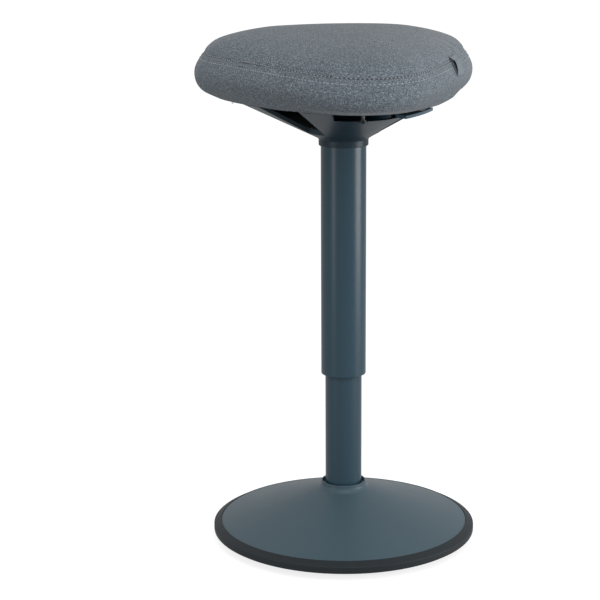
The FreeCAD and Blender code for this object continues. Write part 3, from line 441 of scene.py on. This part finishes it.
def distances_from_seam(rings, seam, reach):
    """Each ring's distance from the crown's edge along the section, negative under it."""
    gaps = [Vector(((upper.x - lower.x) * reach, upper.y - lower.y)).length
            for lower, upper in zip(rings, rings[1:])]
    return [math.fsum(gaps[seam:index]) - math.fsum(gaps[index:seam]) for index in range(len(rings))]


def fill_ring(mesh, first):
    """Closes an open end of the active piece with a grid; first is the number of its first vertex."""
    bpy.ops.object.mode_set(mode="EDIT")
    bpy.ops.mesh.select_all(action="DESELECT")
    bpy.ops.object.mode_set(mode="OBJECT")
    for edge in mesh.edges:
        edge.select = all(first <= vertex < first + ROUND_THE_SEAT for vertex in edge.vertices)
    bpy.ops.object.mode_set(mode="EDIT")
    bpy.ops.mesh.select_mode(type="EDGE")
    bpy.ops.mesh.fill_grid(span=ROUND_THE_SEAT // 4)
    bpy.ops.object.mode_set(mode="OBJECT")


def raise_crown(mesh, sizes, first):
    """Lifts the grid over the crown's middle to its curve; first is the number of its first vertex."""
    rise = sizes.dome_height - sizes.seam_height
    for vertex in mesh.vertices[first:]:
        if vertex.co.z < sizes.seam_height:
            continue
        heading = math.atan2(vertex.co.y, vertex.co.x)
        share = vertex.co.xy.length / full_reach(sizes, heading) / sizes.seam_share
        for (inner, high), (outer, low) in zip(CROWN_MIDDLE, CROWN_MIDDLE[1:]):
            if share <= outer:
                break
        lift = high + (low - high) * (min(share, outer) - inner) / (outer - inner)
        vertex.co.z = sizes.seam_height + rise * lift + math.tan(sizes.nose_droop) * vertex.co.y


def cushion_blank(sizes):
    """The cushion before it swells, and the number of its last pinned ring.

    It is rings of the section with a grid over the middle of each end, and its vertices' distances
    from the crown's edge are in the attribute from_seam."""
    reach = sizes.lobe_distance + sizes.lobe_radius
    rings, pinned, seam = section_rings(sizes, reach)
    headings = [2 * math.pi * k / ROUND_THE_SEAT for k in range(ROUND_THE_SEAT)]
    shape = bmesh.new()
    loops = []
    for index, (share, height, lean) in enumerate(rings):
        cut = flat_cut(height) if pinned <= index < seam else 0.0
        shares = [share + cut * flatness(heading) for heading in headings]
        loops.append([shape.verts.new(at_heading(sizes, heading, own_share, height, lean))
                      for heading, own_share in zip(headings, shares)])
    for lower, upper in zip(loops, loops[1:]):
        for k in range(ROUND_THE_SEAT):
            after = (k + 1) % ROUND_THE_SEAT
            shape.faces.new((lower[k], lower[after], upper[after], upper[k]))
    mesh = bpy.data.meshes.new("seat_cushion")
    shape.to_mesh(mesh)
    shape.free()
    piece = new_piece("seat_cushion", mesh)
    grids_start = len(rings) * ROUND_THE_SEAT
    for first in (0, grids_start - ROUND_THE_SEAT):
        fill_ring(mesh, first)
    raise_crown(mesh, sizes, grids_start)
    along = distances_from_seam(rings, seam, reach)
    values = [distance for distance in along for _ in headings]
    values += [along[-1]] * (len(mesh.vertices) - grids_start)
    mesh.attributes.new("from_seam", "FLOAT", "POINT").data.foreach_set("value", values)
    return piece, pinned


def swell(piece, sizes, pinned):
    """Blows the fabric up a little with Cloth, holding the hem and the pocket for the board."""
    mesh = piece.data
    rest = [vertex.co.copy() for vertex in mesh.vertices]
    held = piece.vertex_groups.new(name="held")
    held.add(list(range((pinned + 1) * ROUND_THE_SEAT)), 1.0, "REPLACE")
    held.add([vertex.index for vertex in mesh.vertices
              if vertex.co.z < POCKET_ROOF and vertex.co.xy.length < POCKET_REACH], 1.0, "REPLACE")
    cloth = piece.modifiers.new("Air", "CLOTH")
    cloth.settings.quality = 5
    cloth.settings.vertex_group_mass = "held"
    cloth.settings.use_pressure = True
    cloth.settings.uniform_pressure_force = sizes.air_pressure
    cloth.settings.effector_weights.gravity = 0
    cloth.point_cache.frame_start = 1
    cloth.point_cache.frame_end = sizes.frames
    for frame_number in range(1, sizes.frames + 1):
        bpy.context.scene.frame_set(frame_number)
    apply_modifiers(piece)
    bpy.context.scene.frame_set(1)
    for vertex, start in zip(mesh.vertices, rest):
        travel = vertex.co - start
        if travel.length > sizes.puff_limit:
            vertex.co = start + travel.normalized() * sizes.puff_limit


def bell(distance, width):
    return math.exp(-(distance / width) ** 2)


def sew(mesh, sizes, sewing):
    """Sinks the seam and the two rows of stitches into the felt, and gathers it a little at each stitch."""
    mesh.update()
    from_seam = mesh.attributes["from_seam"].data
    moves = []
    for vertex in mesh.vertices:
        heading = math.atan2(vertex.co.y, vertex.co.x)
        distance = from_seam[vertex.index].value - seam_shift(sizes, heading)
        from_seam[vertex.index].value = distance
        if abs(distance) > SEWN_BAND:
            continue
        at_stitch = 0.5 + 0.5 * math.cos(sewing.stitches * heading)
        row_depth = sewing.row_depth * (1 - sewing.slack * (1 - at_stitch))
        depth = sewing.crease_depth * bell(distance, sewing.crease_width)
        depth += row_depth * bell(distance - sewing.upper_row, sewing.row_width)
        depth += row_depth * bell(distance + sewing.lower_row, sewing.row_width)
        depth -= sewing.welt * bell(distance + sewing.lower_row / 2, sewing.lower_row / 3)
        depth += sewing.gather_depth * at_stitch * bell(distance, sewing.gather_width)
        moves.append((vertex, vertex.normal * -depth))
    for vertex, move in moves:
        vertex.co += move
    mesh.update()


def felt(colours):
    """Wool-look polyester felt: light and dark fibres mixed before felting give its mottled grey."""
    # Real fibres are far finer than a pixel, so the flecks are drawn as coarse as they need to show
    fleck_size = 1.7 * MM
    cloud_size = 30 * MM
    pile_depth = 0.3 * MM
    material = empty_material("melange_felt")
    place = add_node(material, "ShaderNodeTexCoord").outputs["Object"]
    fleck = add_node(material, "ShaderNodeTexNoise",
                     values={"Scale": 1 / fleck_size, "Detail": 3.0, "Roughness": 0.65},
                     links={"Vector": place})
    cloud = add_node(material, "ShaderNodeTexNoise", values={"Scale": 1 / cloud_size, "Detail": 2.0},
                     links={"Vector": place})
    # The noise lies mostly between 0.3 and 0.7: its high parts are light fibres, its low parts dark ones
    light = add_node(material, "ShaderNodeMapRange", values={"From Min": 0.51, "From Max": 0.72},
                     links={"Value": fleck.outputs["Fac"]})
    dark = add_node(material, "ShaderNodeMapRange", values={"From Min": 0.49, "From Max": 0.29},
                    links={"Value": fleck.outputs["Fac"]})
    lighter = add_node(material, "ShaderNodeMix", {"data_type": "RGBA"},
                       {MIX_FIRST: colours.fabric, MIX_SECOND: colours.fabric_light},
                       {"Factor": light.outputs["Result"]})
    darker = add_node(material, "ShaderNodeMix", {"data_type": "RGBA"}, {MIX_SECOND: colours.fabric_dark},
                      {"Factor": dark.outputs["Result"], MIX_FIRST: lighter.outputs[MIX_RESULT]})
    cloudy = add_node(material, "ShaderNodeMapRange", values={"To Min": 0.92, "To Max": 1.08},
                      links={"Value": cloud.outputs["Fac"]})
    tint = add_node(material, "ShaderNodeVectorMath", {"operation": "SCALE"},
                    links={0: darker.outputs[MIX_RESULT], "Scale": cloudy.outputs["Result"]})
    # Painted shadow: the felt is darkened in a thin line along the seam, where the panels' turned-in edges
    # meet
    seam = add_node(material, "ShaderNodeAttribute", {"attribute_name": "from_seam"})
    off_seam = add_node(material, "ShaderNodeMath", {"operation": "ABSOLUTE"}, links={0: seam.outputs["Fac"]})
    clear = add_node(material, "ShaderNodeMapRange",
                     values={"From Min": 0.5 * MM, "From Max": 2.0 * MM, "To Min": 0.42},
                     links={"Value": off_seam.outputs["Value"]})
    painted_seam_shadow = add_node(material, "ShaderNodeVectorMath", {"operation": "SCALE"},
                        links={0: tint.outputs["Vector"], "Scale": clear.outputs["Result"]})
    bump = add_node(material, "ShaderNodeBump", values={"Distance": pile_depth, "Strength": 0.6},
                    links={"Height": fleck.outputs["Fac"]})
    shader = add_node(material, "ShaderNodeBsdfPrincipled",
                      values={"Roughness": 0.9, "Sheen Weight": 0.15, "Sheen Roughness": 0.5,
                              "Specular IOR Level": 0.2},
                      links={"Base Color": painted_seam_shadow.outputs["Vector"], "Normal": bump.outputs["Normal"]})
    add_node(material, "ShaderNodeOutputMaterial", links={"Surface": shader.outputs["BSDF"]})
    return material


class STOOL_OT_seat_cushion(bpy.types.Operator):
    """Makes the upholstered cushion, swells its fabric and sinks its seam"""
    bl_idname = "stool.seat_cushion"
    bl_label = "Seat cushion"

    def execute(self, context):
        sizes = context.scene.stool_seat
        piece, pinned = cushion_blank(sizes)
        if sizes.simulate:
            swell(piece, sizes, pinned)
        smooth = piece.modifiers.new("Smooth", "SUBSURF")
        smooth.levels = smooth.render_levels = 1
        apply_modifiers(piece)
        sew(piece.data, sizes, context.scene.stool_sewing)
        put_material(piece, felt(context.scene.stool_colours))
        make_active(piece)
        bpy.ops.object.shade_smooth()
        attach(piece, "seat")
        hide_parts("seat_foam", "cover_top_panel", "cover_side_panel")
        return {"FINISHED"}


# Stitches and tag

def cushion_surface(context):
    """The finished cushion as a tree that gives its nearest point and normal."""
    return BVHTree.FromObject(bpy.data.objects["seat_cushion"], context.evaluated_depsgraph_get())


def seam_point(tree, sizes, heading, offset):
    """Point and outward normal on the cushion at a distance over the seam, in one direction."""
    rise = offset + seam_shift(sizes, heading)
    edge = at_heading(sizes, heading, sizes.seam_share, sizes.seam_height, 1)
    inwards = CROWN_LEAN if rise > 0 else SIDE_LEAN
    slope = Vector((0, 0, math.sqrt(1 - inwards * inwards))) - outward(heading) * inwards
    point, normal, _, _ = tree.find_nearest(edge + slope * rise)
    return point, normal


class STOOL_OT_stitching(bpy.types.Operator):
    """Lays the two rows of topstitching along the seam"""
    bl_idname = "stool.stitching"
    bl_label = "Stitching"

    def execute(self, context):
        sizes, sewing = context.scene.stool_seat, context.scene.stool_sewing
        tree = cushion_surface(context)
        deselect_all()
        bpy.ops.mesh.primitive_uv_sphere_add(segments=8, ring_count=5, radius=0.5)
        single = context.object
        single.data.transform(Matrix.Diagonal((sewing.thread, sewing.thread, sewing.stitch_length, 1)))
        half_step = math.pi / sewing.stitches
        rows = bmesh.new()
        for row in (sewing.upper_row, -sewing.lower_row):
            for k in range(sewing.stitches):
                heading = half_step * (2 * k + 1)
                point, normal = seam_point(tree, sizes, heading, row)
                ahead = seam_point(tree, sizes, heading + half_step, row)[0]
                behind = seam_point(tree, sizes, heading - half_step, row)[0]
                along = (ahead - behind).normalized()
                across = normal.cross(along).normalized()
                place = Matrix((across, along.cross(across), along)).transposed().to_4x4()
                place.translation = point + normal * sewing.stitch_lift
                copy = single.data.copy()
                copy.transform(place)
                rows.from_mesh(copy)
                bpy.data.meshes.remove(copy)
        bpy.data.objects.remove(single)
        mesh = bpy.data.meshes.new("seam_stitching")
        rows.to_mesh(mesh)
        rows.free()
        piece = new_piece("seam_stitching", mesh)
        bpy.ops.object.shade_smooth()
        # Bonded polyester thread: paler than the felt, with a slight sheen from its twist
        thread = context.scene.stool_colours.thread
        put_material(piece, finish_material("bonded_polyester_thread", thread, shade(thread, 0.75), patch=3,
                                            grain=0.5, depth=0.08, roughness=0.5, change=0.08))
        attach(piece, "seat")
        return {"FINISHED"}


class STOOL_OT_side_tag(bpy.types.Operator):
    """Folds the bare loop of tape that is sewn into the seam on the right"""
    bl_idname = "stool.side_tag"
    bl_label = "Side tag"

    def execute(self, context):
        tag = context.scene.stool_tag
        tree = cushion_surface(context)
        deselect_all()
        bpy.ops.mesh.primitive_grid_add(x_subdivisions=14, y_subdivisions=26, size=1)
        piece = context.object
        piece.name = piece.data.name = "woven_tag"
        reach = full_reach(context.scene.stool_seat, tag.heading)
        for vertex in piece.data.vertices:
            across, down = vertex.co.x, 0.5 - vertex.co.y
            # Down the front of the loop, round its fold and up its back
            front = down < 0.5
            fall = down * 2 if front else (1 - down) * 2
            height = tag.top + (tag.bottom - tag.top) * fall
            # The search starts a little inside the widest outline
            search = outward(tag.heading + across * tag.width / reach) * reach * 0.97
            point, normal, _, _ = tree.find_nearest(search + Vector((0, 0, height)))
            # The bulge is fullest a little over the middle of the fall
            rounding = math.sin(math.pi * min(fall, 1.0) ** 0.8)
            bulge = tag.front_bulge - tag.twist * across if front else tag.back_bulge
            vertex.co = point + normal * (tag.clearance + bulge * rounding)
        thick = piece.modifiers.new("Thickness", "SOLIDIFY")
        thick.thickness = tag.gauge
        thick.offset = 0
        smooth = piece.modifiers.new("Smooth", "SUBSURF")
        smooth.levels = smooth.render_levels = 2
        apply_modifiers(piece)
        bpy.ops.object.shade_smooth()
        # Woven polyester tape: flat, finely ribbed across, a little paler than the felt
        tape = context.scene.stool_colours.tag
        put_material(piece, finish_material("woven_polyester_tape", tape, shade(tape, 0.82), patch=1.5,
                                            grain=0.9, depth=0.1, roughness=0.7, change=0.05,
                                            stretch=(1, 1, 3)))
        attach(piece, "seat")
        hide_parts("side_tag")
        return {"FINISHED"}


# The stage

def seen_strength(owner, lighting, camera, mirrored):
    """A glow's strength as it lights the stool, as the camera sees it, and in metal, gloss and glass."""
    path = add_node(owner, "ShaderNodeLightPath")
    strength = add_node(owner, "ShaderNodeMath", {"operation": "MULTIPLY_ADD"},
                        {1: camera - lighting, 2: lighting}, {0: path.outputs["Is Camera Ray"]})
    for kind_of_ray in ("Is Glossy Ray", "Is Transmission Ray"):
        strength = add_node(owner, "ShaderNodeMath", {"operation": "MULTIPLY_ADD"}, {1: mirrored - lighting},
                            {0: path.outputs[kind_of_ray], 2: strength.outputs["Value"]})
    return strength.outputs["Value"]


class STOOL_OT_stage(bpy.types.Operator):
    """Adds the floor, the lamps, the world and the camera"""
    bl_idname = "stool.stage"
    bl_label = "Stage"

    def execute(self, context):
        scene = context.scene
        sizes = scene.stool_stage
        scene.view_settings.view_transform = "Standard"
        white = linear("#FFFFFF")

        deselect_all()
        bpy.ops.mesh.primitive_plane_add(size=60)
        floor = context.object
        floor.name = "floor"
        # Matt white vinyl: pale, so that only the stool's own shadow shows on it
        vinyl = empty_material("matt_white_vinyl")
        matt = add_node(vinyl, "ShaderNodeBsdfDiffuse", values={"Color": shade(white, sizes.floor_shade)})
        glow = add_node(vinyl, "ShaderNodeEmission", values={"Color": white},
                        links={"Strength": seen_strength(vinyl, lighting=0.0, camera=0.8, mirrored=0.3)})
        both = add_node(vinyl, "ShaderNodeAddShader",
                        links={0: matt.outputs["BSDF"], 1: glow.outputs["Emission"]})
        add_node(vinyl, "ShaderNodeOutputMaterial", links={"Surface": both.outputs["Shader"]})
        put_material(floor, vinyl)

        world = bpy.data.worlds.new("studio")
        world.use_nodes = True
        world.node_tree.nodes.clear()
        strength = seen_strength(world, lighting=sizes.ambient, camera=1.0, mirrored=0.75)
        sky = add_node(world, "ShaderNodeBackground", values={"Color": white}, links={"Strength": strength})
        add_node(world, "ShaderNodeOutputWorld", links={"Surface": sky.outputs["Background"]})
        scene.world = world

        for name, (place, width, height, faced_height, power) in LAMPS.items():
            bpy.ops.object.light_add(type="AREA", location=place)
            lamp = context.object
            lamp.name = name
            lamp.data.shape = "RECTANGLE"
            lamp.data.size = width
            lamp.data.size_y = height
            lamp.data.energy = power
            faced = Vector((0, 0, faced_height))
            lamp.rotation_euler = (Vector(place) - faced).to_track_quat("Z", "Y").to_euler()

        place = outward(sizes.azimuth + NOSE) * sizes.distance + Vector((0, 0, sizes.height))
        turned = (Matrix.Rotation(sizes.azimuth + sizes.turn, 4, "Z")
                  @ Matrix.Rotation(math.pi / 2 - sizes.pitch, 4, "X") @ Matrix.Rotation(sizes.roll, 4, "Z"))
        bpy.ops.object.camera_add(location=place, rotation=turned.to_euler())
        camera = context.object
        camera.name = "photo_camera"
        camera.data.lens = sizes.lens
        camera.data.sensor_width = 36
        camera.data.clip_end = 100
        scene.camera = camera
        return {"FINISHED"}


PROPERTIES = {"stool_seat": SeatSizes, "stool_sewing": SewingSizes, "stool_tag": TagSizes,
              "stool_colours": Colours, "stool_stage": StageSizes}
OPERATORS = (STOOL_OT_hard_parts, STOOL_OT_seat_cushion, STOOL_OT_stitching, STOOL_OT_side_tag,
             STOOL_OT_stage)


class STOOL_PT_sidebar(bpy.types.Panel):
    """Lists the stool's operators and settings"""
    bl_idname = "STOOL_PT_sidebar"
    bl_label = "Wobble stool"
    bl_space_type = "VIEW_3D"
    bl_region_type = "UI"
    bl_category = "Wobble stool"

    def draw(self, context):
        for operator in OPERATORS:
            self.layout.operator(operator.bl_idname)
        for name, group in PROPERTIES.items():
            box = self.layout.box()
            for setting in group.__annotations__:
                box.prop(getattr(context.scene, name), setting)


def register():
    for name, group in PROPERTIES.items():
        bpy.utils.register_class(group)
        setattr(bpy.types.Scene, name, PointerProperty(type=group))
    for operator in OPERATORS:
        bpy.utils.register_class(operator)
    bpy.utils.register_class(STOOL_PT_sidebar)


def unregister():
    bpy.utils.unregister_class(STOOL_PT_sidebar)
    for operator in reversed(OPERATORS):
        bpy.utils.unregister_class(operator)
    for name, group in reversed(PROPERTIES.items()):
        delattr(bpy.types.Scene, name)
        bpy.utils.unregister_class(group)


def main():
    register()
    bpy.ops.stool.hard_parts()
    bpy.ops.stool.seat_cushion()
    bpy.ops.stool.stitching()
    bpy.ops.stool.side_tag()
    bpy.ops.stool.stage()
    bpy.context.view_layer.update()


if __name__ == "__main__":
    main()
